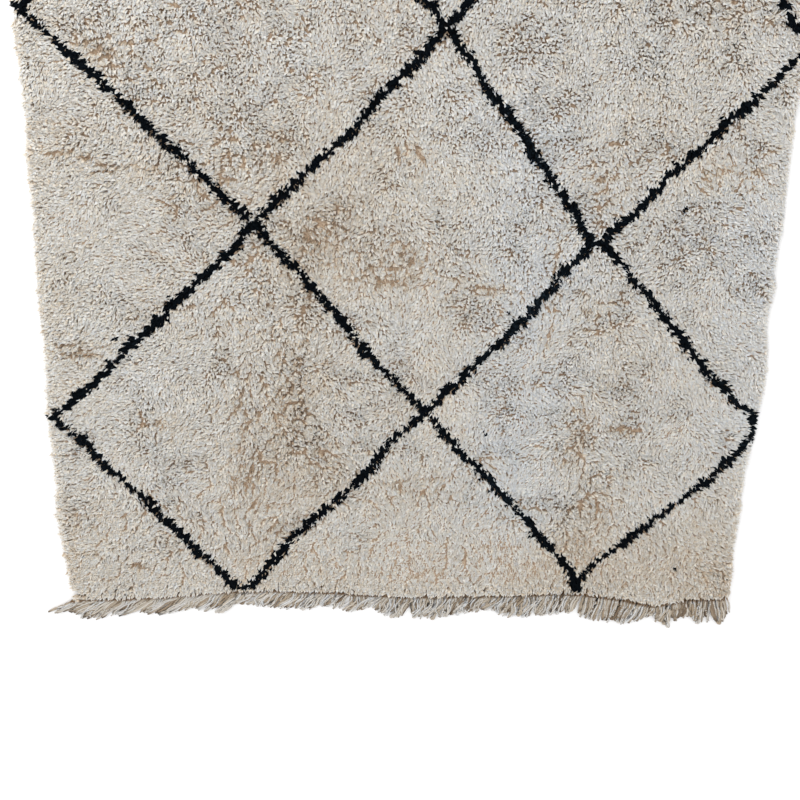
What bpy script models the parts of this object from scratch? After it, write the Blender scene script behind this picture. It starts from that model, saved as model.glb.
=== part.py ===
"""A Beni Ourain style wool rug lying flat: one thick knotted sheet, and a comb of fringe at its lower end.

Metres, +Z up. X runs across the rug, and Y along it from the fringed end to the plain end.
The underside lies on Z = 0. The meshes are drawn in the pile's own distances, across from its middle
line and along from its fringed end, and both objects then move so that the footprint's middle is the origin.
"""

import bisect
import collections
import math

import bmesh
import bpy

# Driving dimensions
PILE_WIDTH = 1.600
PILE_LENGTH = 2.530
RUG_THICKNESS = 0.024
WALL_HEIGHT = 0.010
RIM_INSET = 0.009
RIM_HEIGHT = 0.018
RIM_BAND = 0.026

COLUMNS = 22
ROWS = 60

FRINGE_THICKNESS = 0.007
FRINGE_HEADING = 0.009
FRINGE_TUFTS = 56
TUFT_GAP = 0.006
TUFT_TAPER = 0.62
TUFT_UNEVENNESS = 0.08
TUFT_UNEVEN_STEP = 2.4
TIP_SLOPE = 0.004
TIP_SLOPE_STEP = 1.7
PIECE_GAP = 0.0003

WOOL_COLOUR = (0.60, 0.53, 0.44, 1.0)
YARN_COLOUR = (0.56, 0.49, 0.41, 1.0)

# How far each long side strays outward from half the width, at a distance along from the fringed end.
SideStation = collections.namedtuple("SideStation", "along left right")
SIDE_STATIONS = (
    SideStation(along=0.00, left=-0.012, right=0.001),
    SideStation(along=0.04, left=-0.006, right=0.005),
    SideStation(along=0.10, left=-0.003, right=-0.008),
    SideStation(along=0.20, left=0.005, right=-0.003),
    SideStation(along=0.31, left=0.001, right=-0.005),
    SideStation(along=0.39, left=0.005, right=0.002),
    SideStation(along=0.45, left=0.007, right=0.005),
    SideStation(along=0.55, left=0.000, right=0.014),
    SideStation(along=0.64, left=0.001, right=0.006),
    SideStation(along=0.69, left=0.004, right=-0.003),
    SideStation(along=0.76, left=0.004, right=0.005),
    SideStation(along=0.82, left=0.002, right=-0.004),
    SideStation(along=0.90, left=-0.003, right=0.002),
    SideStation(along=0.98, left=0.002, right=0.000),
    SideStation(along=1.05, left=-0.004, right=-0.003),
    SideStation(along=1.28, left=0.004, right=0.005),
    SideStation(along=1.50, left=-0.003, right=-0.002),
    SideStation(along=1.75, left=0.003, right=0.004),
    SideStation(along=2.02, left=-0.004, right=0.002),
    SideStation(along=2.28, left=0.002, right=-0.004),
    SideStation(along=2.53, left=-0.008, right=-0.007),
)

# How far each end strays inward along the rug, at a distance across from the rug's middle line.
EndStation = collections.namedtuple("EndStation", "across fringed plain")
END_STATIONS = (
    EndStation(across=-0.81, fringed=-0.010, plain=0.010),
    EndStation(across=-0.70, fringed=-0.006, plain=0.003),
    EndStation(across=-0.41, fringed=0.004, plain=0.000),
    EndStation(across=-0.35, fringed=0.011, plain=0.002),
    EndStation(across=-0.20, fringed=0.007, plain=0.005),
    EndStation(across=0.00, fringed=-0.004, plain=0.001),
    EndStation(across=0.21, fringed=-0.001, plain=0.000),
    EndStation(across=0.42, fringed=0.009, plain=0.003),
    EndStation(across=0.52, fringed=-0.004, plain=0.004),
    EndStation(across=0.62, fringed=-0.026, plain=0.002),
    EndStation(across=0.70, fringed=-0.007, plain=0.001),
    EndStation(across=0.81, fringed=-0.002, plain=0.009),
)

# How far the fringe reaches past the pile, and how far its ends lie to the side, negative to the left.
FringeStation = collections.namedtuple("FringeStation", "across reach lean")
FRINGE_STATIONS = (
    FringeStation(across=-0.80, reach=0.058, lean=-0.078),
    FringeStation(across=-0.76, reach=0.056, lean=-0.066),
    FringeStation(across=-0.72, reach=0.071, lean=-0.050),
    FringeStation(across=-0.64, reach=0.059, lean=-0.044),
    FringeStation(across=-0.57, reach=0.063, lean=-0.040),
    FringeStation(across=-0.47, reach=0.054, lean=-0.038),
    FringeStation(across=-0.39, reach=0.050, lean=-0.030),
    FringeStation(across=-0.27, reach=0.053, lean=-0.032),
    FringeStation(across=-0.18, reach=0.047, lean=-0.028),
    FringeStation(across=-0.08, reach=0.048, lean=-0.020),
    FringeStation(across=0.00, reach=0.063, lean=-0.016),
    FringeStation(across=0.10, reach=0.064, lean=-0.018),
    FringeStation(across=0.17, reach=0.054, lean=-0.026),
    FringeStation(across=0.28, reach=0.066, lean=-0.020),
    FringeStation(across=0.36, reach=0.062, lean=-0.022),
    FringeStation(across=0.43, reach=0.060, lean=-0.012),
    FringeStation(across=0.54, reach=0.070, lean=-0.022),
    FringeStation(across=0.61, reach=0.046, lean=-0.008),
    FringeStation(across=0.65, reach=0.062, lean=0.002),
    FringeStation(across=0.73, reach=0.070, lean=0.004),
    FringeStation(across=0.80, reach=0.040, lean=0.010),
)

# Soft troughs where the pile parts: the two ends of each, in the pile's own across and along distances.
Trough = collections.namedtuple("Trough", "across1 along1 across2 along2 depth")
TROUGHS = (
    Trough(across1=-0.76, along1=0.60, across2=-0.60, along2=0.59, depth=0.005),
    Trough(across1=-0.74, along1=0.96, across2=-0.48, along2=0.98, depth=0.005),
    Trough(across1=-0.70, along1=0.09, across2=-0.62, along2=0.08, depth=0.004),
    Trough(across1=0.40, along1=0.80, across2=0.42, along2=0.52, depth=0.004),
    Trough(across1=0.42, along1=0.42, across2=0.37, along2=0.18, depth=0.005),
    Trough(across1=-0.26, along1=0.72, across2=-0.24, along2=0.38, depth=0.004),
    Trough(across1=-0.30, along1=1.42, across2=-0.05, along2=1.50, depth=0.004),
    Trough(across1=0.34, along1=1.95, across2=0.52, along2=1.80, depth=0.004),
)
TROUGH_WIDTH = 0.045

# The pile's top lies in slow waves: radians a metre across and along, and each wave's start.
Wave = collections.namedtuple("Wave", "across along start")
PILE_WAVES = (
    Wave(across=5.1, along=2.3, start=0.0),
    Wave(across=-2.9, along=3.7, start=1.3),
    Wave(across=4.1, along=11.3, start=0.7),
)
WAVE_HEIGHT = 0.0006


def read_table(stations, place, column):
    """The smooth value at a place of one column of a table, whose first column gives the places."""
    places = [station[0] for station in stations]
    place = min(max(place, places[0]), places[-1])
    after = min(max(bisect.bisect_right(places, place), 1), len(stations) - 1)
    low, high = stations[after - 1], stations[after]
    share = (place - low[0]) / (high[0] - low[0])
    share = share * share * (3.0 - 2.0 * share)
    return getattr(low, column) * (1.0 - share) + getattr(high, column) * share


def pile_point(across_share, along_share):
    """The point of the rug's outline plan at shares of its width and length, as (across, along)."""
    along = along_share * PILE_LENGTH
    left = -PILE_WIDTH / 2 - read_table(SIDE_STATIONS, along, "left")
    right = PILE_WIDTH / 2 + read_table(SIDE_STATIONS, along, "right")
    across = left + across_share * (right - left)
    low = read_table(END_STATIONS, across, "fringed")
    high = PILE_LENGTH - read_table(END_STATIONS, across, "plain")
    return across, low + along_share * (high - low)


def trough_depth(across, along):
    """How much the pile is parted at a point: the deepest trough's depth, fading over its width."""
    deepest = 0.0
    for trough in TROUGHS:
        run_x = trough.across2 - trough.across1
        run_y = trough.along2 - trough.along1
        share = ((across - trough.across1) * run_x + (along - trough.along1) * run_y) / (run_x**2 + run_y**2)
        share = min(max(share, 0.0), 1.0)
        off = math.hypot(across - trough.across1 - share * run_x, along - trough.along1 - share * run_y)
        deepest = max(deepest, trough.depth * math.exp(-((off / TROUGH_WIDTH) ** 2)))
    return deepest


def pile_height(across, along):
    """The pile's height above the floor: nearly level, a little uneven, with its partings."""
    waves = sum(math.sin(w.across * across + w.along * along + w.start) for w in PILE_WAVES)
    return RUG_THICKNESS + WAVE_HEIGHT * (waves - len(PILE_WAVES)) - trough_depth(across, along)


def spaced_shares(count, length):
    """Shares from 0 to 1 for a count of cells, the first and last of them as narrow as the rim."""
    rim = RIM_BAND / length
    return [0.0] + [rim + (1.0 - 2 * rim) * i / (count - 2) for i in range(count - 1)] + [1.0]


def make_material(name, colour, roughness):
    material = bpy.data.materials.new(name)
    material.use_nodes = True
    shader = material.node_tree.nodes["Principled BSDF"]
    shader.inputs["Base Color"].default_value = colour
    shader.inputs["Roughness"].default_value = roughness
    shader.inputs["Metallic"].default_value = 0.0
    return material


def raised_region(mesh, faces):
    """Extrudes a region of faces and returns its new faces, to be moved up."""
    made = bmesh.ops.extrude_face_region(mesh, geom=faces)["geom"]
    return [item for item in made if isinstance(item, bmesh.types.BMFace)]


def make_rug(collection):
    """A grid cut to the rug's outline, raised as a straight wall and then as a rounded, uneven top."""
    across_shares = spaced_shares(COLUMNS, PILE_WIDTH)
    along_shares = spaced_shares(ROWS, PILE_LENGTH)
    rug = bmesh.new()
    bmesh.ops.create_grid(rug, x_segments=COLUMNS, y_segments=ROWS, size=1.0)
    inward = {}
    for vertex in rug.verts:
        column = round((vertex.co.x + 1.0) / 2.0 * COLUMNS)
        row = round((vertex.co.y + 1.0) / 2.0 * ROWS)
        vertex.co = (*pile_point(across_shares[column], along_shares[row]), 0.0)
        rim_x = (column == 0) - (column == COLUMNS)
        rim_y = (row == 0) - (row == ROWS)
        inward[vertex.co.to_tuple()] = (rim_x, rim_y)
    underside = rug.faces[:]

    belly = raised_region(rug, underside)
    for vertex in {v for face in belly for v in face.verts}:
        vertex.co.z = WALL_HEIGHT

    top = raised_region(rug, belly)
    bmesh.ops.delete(rug, geom=belly, context="FACES")
    for vertex in {v for face in top for v in face.verts}:
        across, along, _ = vertex.co
        rim_x, rim_y = inward[(across, along, 0.0)]
        height = RIM_HEIGHT if rim_x or rim_y else pile_height(across, along)
        vertex.co = (across + rim_x * RIM_INSET, along + rim_y * RIM_INSET, height)

    flat = [f for f in rug.faces if all(v.co.z == 0.0 for v in f.verts)]
    joined = bmesh.ops.dissolve_faces(rug, faces=flat)["region"]
    bmesh.ops.triangulate(rug, faces=joined, ngon_method="BEAUTY")
    bmesh.ops.recalc_face_normals(rug, faces=rug.faces[:])

    mesh = bpy.data.meshes.new("rug")
    rug.to_mesh(mesh)
    rug.free()
    mesh.shade_smooth()
    mesh.set_sharp_from_angle(angle=math.radians(50))
    mesh.materials.append(make_material("cream wool pile", WOOL_COLOUR, 0.95))
    rug_object = bpy.data.objects.new("rug", mesh)
    collection.objects.link(rug_object)
    return rug_object


def tuft_outline(number):
    """One tuft of the fringe's four corners, from its right root to its left root."""
    near, far = number / FRINGE_TUFTS, (number + 1) / FRINGE_TUFTS
    (left, left_along), (right, right_along) = pile_point(near, 0.0), pile_point(far, 0.0)
    middle = (left + right) / 2
    uneven = 1.0 + TUFT_UNEVENNESS * math.sin(TUFT_UNEVEN_STEP * number)
    reach = read_table(FRINGE_STATIONS, middle, "reach") * uneven
    lean = read_table(FRINGE_STATIONS, middle, "lean")
    half_root = (right - left - TUFT_GAP) / 2
    half_tip = half_root * TUFT_TAPER
    tip_slope = TIP_SLOPE * math.sin(TIP_SLOPE_STEP * number)
    return [
        (middle + half_root, right_along - FRINGE_HEADING),
        (middle + half_tip + lean, right_along - reach + tip_slope),
        (middle - half_tip + lean, left_along - reach - tip_slope),
        (middle - half_root, left_along - FRINGE_HEADING),
    ]


def fringe_outline():
    """The comb's corners: its heading along the pile's lower edge, a gap away, and back along its tufts."""
    edge = [pile_point(share, 0.0) for share in spaced_shares(COLUMNS, PILE_WIDTH)]
    outline = [(across, along - PIECE_GAP) for across, along in edge]
    for number in reversed(range(FRINGE_TUFTS)):
        outline += tuft_outline(number)
    return outline


def make_fringe(collection):
    """A comb of yarn tufts on one heading, as thick as the yarn."""
    outline = fringe_outline()
    curve = bpy.data.curves.new("fringe", "CURVE")
    curve.dimensions = "2D"
    curve.fill_mode = "BOTH"
    curve.extrude = FRINGE_THICKNESS / 2
    spline = curve.splines.new("POLY")
    spline.points.add(len(outline) - 1)
    for point, (across, along) in zip(spline.points, outline):
        point.co = (across, along, 0.0, 1.0)
    spline.use_cyclic_u = True
    curve.materials.append(make_material("undyed warp yarn", YARN_COLOUR, 0.9))
    fringe = bpy.data.objects.new("fringe", curve)
    fringe.location.z = FRINGE_THICKNESS / 2
    collection.objects.link(fringe)
    return fringe


def footprint_middle():
    """The middle of the box around the pile's outline and the fringe's, in the pile's own distances."""
    across_shares = spaced_shares(COLUMNS, PILE_WIDTH)
    along_shares = spaced_shares(ROWS, PILE_LENGTH)
    points = fringe_outline() + [pile_point(a, b) for a in across_shares for b in along_shares]
    return [(min(places) + max(places)) / 2 for places in zip(*points)]


def main():
    for old in list(bpy.data.objects):
        bpy.data.objects.remove(old)
    rug_collection = bpy.data.collections.new("beni ourain rug")
    bpy.context.scene.collection.children.link(rug_collection)
    middle_x, middle_y = footprint_middle()
    for piece in (make_rug(rug_collection), make_fringe(rug_collection)):
        piece.location.x = -middle_x
        piece.location.y = -middle_y


main()
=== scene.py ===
import math

import bmesh
import bpy
import numpy as np
from mathutils import Matrix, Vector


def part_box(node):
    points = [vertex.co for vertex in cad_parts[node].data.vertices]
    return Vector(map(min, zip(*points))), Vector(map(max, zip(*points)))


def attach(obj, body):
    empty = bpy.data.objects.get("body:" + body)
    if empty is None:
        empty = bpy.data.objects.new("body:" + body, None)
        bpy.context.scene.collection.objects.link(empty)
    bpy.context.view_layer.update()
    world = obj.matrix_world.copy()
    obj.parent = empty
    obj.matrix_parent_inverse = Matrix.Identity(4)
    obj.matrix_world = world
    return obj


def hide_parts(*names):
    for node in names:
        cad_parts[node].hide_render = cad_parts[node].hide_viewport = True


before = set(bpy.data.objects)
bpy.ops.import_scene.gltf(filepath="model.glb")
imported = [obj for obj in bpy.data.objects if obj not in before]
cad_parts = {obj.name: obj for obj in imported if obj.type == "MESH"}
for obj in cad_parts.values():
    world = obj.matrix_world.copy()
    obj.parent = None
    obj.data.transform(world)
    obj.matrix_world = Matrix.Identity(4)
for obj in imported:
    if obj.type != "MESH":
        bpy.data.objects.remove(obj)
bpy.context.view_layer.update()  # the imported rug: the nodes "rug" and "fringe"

# The pile's own distances are used throughout, in metres: across from its middle line,
# and along from its fringed end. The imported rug's box says where they lie in the frame.
rugPlace = {
    "pileWidth": 1.600,
    "pileLength": 2.530,
    "widestRight": 0.8137,  # from the middle line to the right side's furthest point
    "sideBand": 0.060,  # how near a side of its box an outline point belongs to that side
    # how far the pile hangs out over the fringe, at a distance across
    "overhang": ((-0.80, 0.017), (-0.76, 0.013), (-0.72, 0.009), (-0.63, 0.010), (-0.53, 0.007),
                 (-0.45, 0.002), (-0.40, 0.0), (0.80, 0.0)),
}
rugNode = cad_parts["rug"]
rugLow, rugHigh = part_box("rug")
middleX = rugHigh[0] - rugPlace["widestRight"]
fringedY = rugHigh[1] - rugPlace["pileLength"]


# Adds a node to a tree: each of its inputs takes a value, or another node's socket as a link
def addNode(tree, kind, inputs=None, **settings):
    node = tree.nodes.new(kind)
    for name, value in settings.items():
        setattr(node, name, value)
    for key, value in (inputs or {}).items():
        if isinstance(value, bpy.types.NodeSocket):
            tree.links.new(value, node.inputs[key])
        else:
            node.inputs[key].default_value = value
    return node


def doMath(tree, operation, *values):
    return addNode(tree, "ShaderNodeMath", dict(enumerate(values)), operation=operation).outputs[0]


def doVector(tree, operation, *values):
    return addNode(tree, "ShaderNodeVectorMath", dict(enumerate(values)), operation=operation).outputs[0]


def scaleVector(tree, vector, amount):
    inputs = {0: vector, "Scale": amount}
    return addNode(tree, "ShaderNodeVectorMath", inputs, operation="SCALE").outputs[0]


def startTree(name, inputs):
    tree = bpy.data.node_groups.new(name, "GeometryNodeTree")
    tree.interface.new_socket("Geometry", in_out="OUTPUT", socket_type="NodeSocketGeometry")
    tree.interface.new_socket("Geometry", in_out="INPUT", socket_type="NodeSocketGeometry")
    for label, kind in inputs.items():
        tree.interface.new_socket(label, in_out="INPUT", socket_type="NodeSocket" + kind)
    return tree, addNode(tree, "NodeGroupInput").outputs


def endTree(tree, geometry, material):
    dressed = addNode(tree, "GeometryNodeSetMaterial", {"Geometry": geometry, "Material": material})
    addNode(tree, "NodeGroupOutput", {0: dressed.outputs[0]})
    return tree


def readAttribute(tree, name, kind="FLOAT"):
    return addNode(tree, "GeometryNodeInputNamedAttribute", {"Name": name}, data_type=kind).outputs[0]


def storeAttribute(tree, geometry, name, value, kind="FLOAT", domain="POINT"):
    inputs = {"Geometry": geometry, "Name": name, "Value": value}
    return addNode(tree, "GeometryNodeStoreNamedAttribute", inputs, data_type=kind, domain=domain).outputs[0]


def randomBetween(tree, low, high, seed, kind="FLOAT"):
    first = 0 if kind == "FLOAT_VECTOR" else 2
    inputs = {first: low, first + 1: high, "Seed": seed}
    return addNode(tree, "FunctionNodeRandomValue", inputs, data_type=kind).outputs[first // 2]


def addObject(name, data):
    added = bpy.data.objects.new(name, data)
    bpy.context.scene.collection.objects.link(added)
    return added


def giveValues(mesh, values):
    for name, numbers in values.items():
        mesh.attributes.new(name, "FLOAT", "POINT").data.foreach_set("value", numbers)


# Runs a tree on a mesh and keeps the result as a plain mesh at the origin
def growPiece(name, source, tree, values):
    grower = addObject(name + "Source", source)
    modifier = grower.modifiers.new("grow", "NODES")
    modifier.node_group = tree
    for item in tree.interface.items_tree:
        if item.item_type == "SOCKET" and item.in_out == "INPUT" and item.name in values:
            modifier[item.identifier] = values[item.name]
    graph = bpy.context.evaluated_depsgraph_get()
    mesh = bpy.data.meshes.new_from_object(grower.evaluated_get(graph))
    bpy.data.objects.remove(grower)
    mesh.name = name
    return addObject(name, mesh)


# The camera stands over the fringed half, a little to the left, and looks almost straight down
cameraPlace = {
    "across": -0.081,
    "along": 0.9165,
    "height": 1.718,
    "right": (0.99925, 0.02392, 0.03033),
    "up": (-0.01568, 0.96880, -0.24735),
    "lens": 35.0,
}


def makeCamera():
    data = bpy.data.cameras.new("camera")
    data.lens = cameraPlace["lens"]
    camera = addObject("camera", data)
    right, up = np.array(cameraPlace["right"]), np.array(cameraPlace["up"])
    turn = Matrix(np.column_stack([right, up, np.cross(right, up)]).tolist()).to_4x4()
    place = (middleX + cameraPlace["across"], fringedY + cameraPlace["along"], cameraPlace["height"])
    camera.matrix_world = Matrix.Translation(place) @ turn
    bpy.context.scene.camera = camera


studio = {
    "floorSize": 60.0,
    "floorDrop": 0.0004,
    "floorColour": (0.88, 0.88, 0.88, 1.0),
    "floorRoughness": 0.9,
    "skyColour": (1.0, 1.0, 1.0, 1.0),
    "skyStrength": 1.15,
    # place, aimed at the rug's middle, then size and power
    "keyLight": ((-1.3, 0.8, 2.2), 2.0, 30.0),
    "fillLight": ((2.6, 2.8, 3.2), 3.0, 6.0),
}


def makeStudio():
    bpy.ops.mesh.primitive_plane_add(size=studio["floorSize"], location=(0, 0, -studio["floorDrop"]))
    floor = bpy.context.object
    floor.name = "floor"
    material = bpy.data.materials.new("paleFloor")
    material.use_nodes = True
    shader = material.node_tree.nodes["Principled BSDF"]
    shader.inputs["Base Color"].default_value = studio["floorColour"]
    shader.inputs["Roughness"].default_value = studio["floorRoughness"]
    floor.data.materials.append(material)

    world = bpy.data.worlds.new("studioSky")
    world.use_nodes = True
    sky = world.node_tree.nodes["Background"]
    sky.inputs["Color"].default_value = studio["skyColour"]
    sky.inputs["Strength"].default_value = studio["skyStrength"]
    bpy.context.scene.world = world
    bpy.context.scene.view_settings.view_transform = "Standard"

    for name in ("keyLight", "fillLight"):
        place, size, power = studio[name]
        data = bpy.data.lights.new(name, "AREA")
        data.shape = "DISK"
        data.size = size
        data.energy = power
        aim = -np.array(place)
        turn = Matrix(aimedAxes(aim / np.linalg.norm(aim)).tolist()).to_4x4()
        addObject(name, data).matrix_world = Matrix.Translation(place) @ turn


# The side, top and back of something that faces forward, as a turn
def aimedAxes(forward):
    side = np.cross(forward, (0.0, 0.0, 1.0))
    side /= np.linalg.norm(side)
    return np.column_stack([side, np.cross(side, forward), -forward])


# The lattice: four zigzag lines run the whole length, and each turns where it meets its neighbours.
# The outer two touch the sides. Their turning points are (across, along).
lattice = {
    "outerLeft": ((-0.387, 0.016), (-0.442, 0.078), (-0.527, 0.163), (-0.605, 0.247), (-0.682, 0.328),
                  (-0.729, 0.382), (-0.789, 0.437), (-0.690, 0.522), (-0.554, 0.655), (-0.491, 0.719),
                  (-0.396, 0.800), (-0.335, 0.868), (-0.443, 0.963), (-0.520, 1.038), (-0.786, 1.279),
                  (-0.590, 1.470), (-0.372, 1.690), (-0.600, 1.890), (-0.790, 2.095), (-0.575, 2.300),
                  (-0.385, 2.500)),
    "innerLeft": ((-0.378, 0.016), (-0.317, 0.084), (-0.197, 0.217), (-0.114, 0.287), (-0.055, 0.375),
                  (0.042, 0.467), (-0.047, 0.546), (-0.128, 0.637), (-0.229, 0.753), (-0.335, 0.868),
                  (-0.238, 0.974), (-0.153, 1.044), (0.059, 1.267), (-0.160, 1.480), (-0.372, 1.690),
                  (-0.175, 1.885), (0.035, 2.090), (-0.180, 2.290), (-0.385, 2.500)),
    "innerRight": ((0.418, 0.016), (0.414, 0.056), (0.349, 0.131), (0.192, 0.303), (0.131, 0.359),
                   (0.042, 0.467), (0.166, 0.586), (0.258, 0.691), (0.338, 0.793), (0.390, 0.847),
                   (0.328, 0.931), (0.228, 1.052), (0.059, 1.267), (0.240, 1.465), (0.410, 1.675),
                   (0.215, 1.880), (0.035, 2.090), (0.225, 2.295), (0.405, 2.495)),
    "outerRight": ((0.418, 0.016), (0.418, 0.056), (0.512, 0.141), (0.591, 0.213), (0.691, 0.297),
                   (0.795, 0.412), (0.791, 0.459), (0.683, 0.554), (0.605, 0.639), (0.500, 0.757),
                   (0.405, 0.847), (0.464, 0.903), (0.550, 1.000), (0.620, 1.064), (0.806, 1.254),
                   (0.600, 1.465), (0.410, 1.675), (0.605, 1.880), (0.792, 2.085), (0.600, 2.290),
                   (0.405, 2.495)),
}
latticeLook = {
    "rowsPerStep": 2,  # the dark run moves over once in so many rows, which leaves the line toothed
    "halfRun": 0.0122,
    "stepWander": 0.0035,
    "runWander": 0.0040,
    "firstRow": 0.016,
    "lastRow": 2.505,
    "creamStray": 0.026,  # share of cream yarn ends within the lines
    "specks": ((0.181, 0.414), (0.652, 0.079), (-0.641, 0.614), (-0.609, 0.570), (0.582, 0.916),
               (0.215, 0.694), (0.510, 1.560), (-0.180, 1.930)),
    "speckReach": 0.0042,
}


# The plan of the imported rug's upright wall, as the places of its four sides
def readOutline():
    corners = np.array([v.co for v in rugNode.data.vertices])
    onFloor = corners[:, 2] < 1e-4
    foot = np.unique(np.round(corners[onFloor][:, :2], 5), axis=0)
    band = rugPlace["sideBand"]
    sides = {}
    for side, (axis, edge, sign) in {
        "left": (0, rugLow[0], 1), "right": (0, rugHigh[0], -1),
        "fringed": (1, rugLow[1], 1), "plain": (1, rugHigh[1], -1),
    }.items():
        near = foot[(foot[:, axis] - edge) * sign < band]
        near = near[np.argsort(near[:, 1 - axis])]
        sides[side] = near[:, 1 - axis], near[:, axis]
    return sides


outline = readOutline()


def edgeAt(side, place):
    return np.interp(place, *outline[side])


# A table of (place, value) pairs, read between its places
def readTable(pairs, place):
    return np.interp(place, *np.array(pairs).T)


def pileEnd(x):
    return edgeAt("fringed", x) - readTable(rugPlace["overhang"], x - middleX)


# How far inside the left, right, fringed and plain sides a point lies
def insideBy(x, y):
    return np.stack([
        x - edgeAt("left", y), edgeAt("right", y) - x, y - pileEnd(x), edgeAt("plain", x) - y,
    ])


def latticeAcross(along):
    return [readTable(sorted((b, a) for a, b in turns), along) for turns in lattice.values()]


# The knots: two yarn ends each, in straight rows across the rug
knots = {
    "pitch": 0.0064,
    "jitter": 0.55,
    "edgeInset": 0.0045,
    "seed": 7,
    "bands": 5,  # the cream pile is so many pieces, one after another along the rug
}


def toWorld(across, along):
    return across + middleX, along + fringedY


def layYarnRoots():
    rng = np.random.default_rng(knots["seed"])
    pitch = knots["pitch"]
    rows = np.arange(-0.03, rugPlace["pileLength"], pitch)
    columns = np.arange(-rugPlace["pileWidth"] / 2 - 0.02, rugPlace["pileWidth"] / 2 + 0.02, pitch / 2)
    across, along = np.meshgrid(columns, rows)
    across[1::2] += pitch / 4
    # a knot's two ends share its width, so each may stray half as far across as along
    across += rng.uniform(-0.25, 0.25, across.shape) * pitch * knots["jitter"]
    along += rng.uniform(-0.5, 0.5, along.shape) * pitch * knots["jitter"]

    look = latticeLook
    step = np.arange(len(rows)) // look["rowsPerStep"]
    stepRows = rows[0] + (step + 0.5) * pitch * look["rowsPerStep"]
    dark = np.zeros(across.shape, bool)
    for centre in latticeAcross(stepRows):
        wander = rng.uniform(-1, 1, step[-1] + 1)[step] * look["stepWander"]
        half = look["halfRun"] + rng.uniform(-1, 1, step[-1] + 1)[step] * look["runWander"]
        inRun = np.abs(across - (centre + wander)[:, None]) < half[:, None]
        dark |= inRun & ((rows > look["firstRow"]) & (rows < look["lastRow"]))[:, None]
    dark &= rng.random(across.shape) > look["creamStray"]
    for speckAcross, speckAlong in look["specks"]:
        dark |= np.hypot(across - speckAcross, along - speckAlong) < look["speckReach"]

    x, y = toWorld(across.ravel(), along.ravel())
    gaps = insideBy(x, y)
    keep = gaps.min(0) > knots["edgeInset"]
    return x[keep], y[keep], dark.ravel()[keep], gaps[:, keep], rng


# How the pile was combed by hand and foot: where, how far round, which way the tips point, how firmly
combing = {
    "restHeading": -95.0,  # degrees from the across direction: the pile falls to the fringed end
    "restPull": 0.46,
    "sideReach": 0.10,
    "sidePull": 0.55,
    "edgeReach": 0.014,
    # left, right, fringed, plain
    "edgePull": (0.9, 0.8, 0.75, 0.7),
    "edgeLift": (0.30, 0.30, 0.95, 0.40),
    # how clumped the pile is, everywhere and towards the fringed end, where it is walked on most
    "restRough": 0.14,
    "endRough": 0.52,
    "endReach": 0.26,
    "strokes": (
        # across, along, reach, heading, pull
        (-0.66, 0.98, 0.16, 200, 0.5),
        (-0.55, 0.75, 0.16, 150, 0.5),
        (-0.70, 0.55, 0.14, 185, 0.5),
        (-0.68, 0.12, 0.14, 215, 0.5),
        (-0.30, 0.10, 0.16, 240, 0.4),
        (0.05, 0.12, 0.16, 268, 0.4),
        (0.30, 0.10, 0.12, 292, 0.5),
        (0.62, 0.12, 0.18, 305, 0.5),
        (0.72, 0.60, 0.14, -15, 0.5),
        (-0.22, 0.45, 0.10, 30, 0.4),
        (-0.42, 0.40, 0.10, 170, 0.4),
        (0.02, 0.95, 0.16, 290, 0.4),
        (0.36, 0.66, 0.09, 200, 0.4),
        (0.46, 0.62, 0.09, -10, 0.4),
        (0.33, 0.32, 0.08, 190, 0.5),
        (0.46, 0.32, 0.08, -5, 0.5),
        (-0.10, 1.50, 0.20, 220, 0.4),
        (0.50, 1.70, 0.22, 300, 0.4),
        (-0.50, 2.00, 0.20, 170, 0.4),
        (0.20, 2.25, 0.20, 100, 0.8),
    ),
}

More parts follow.
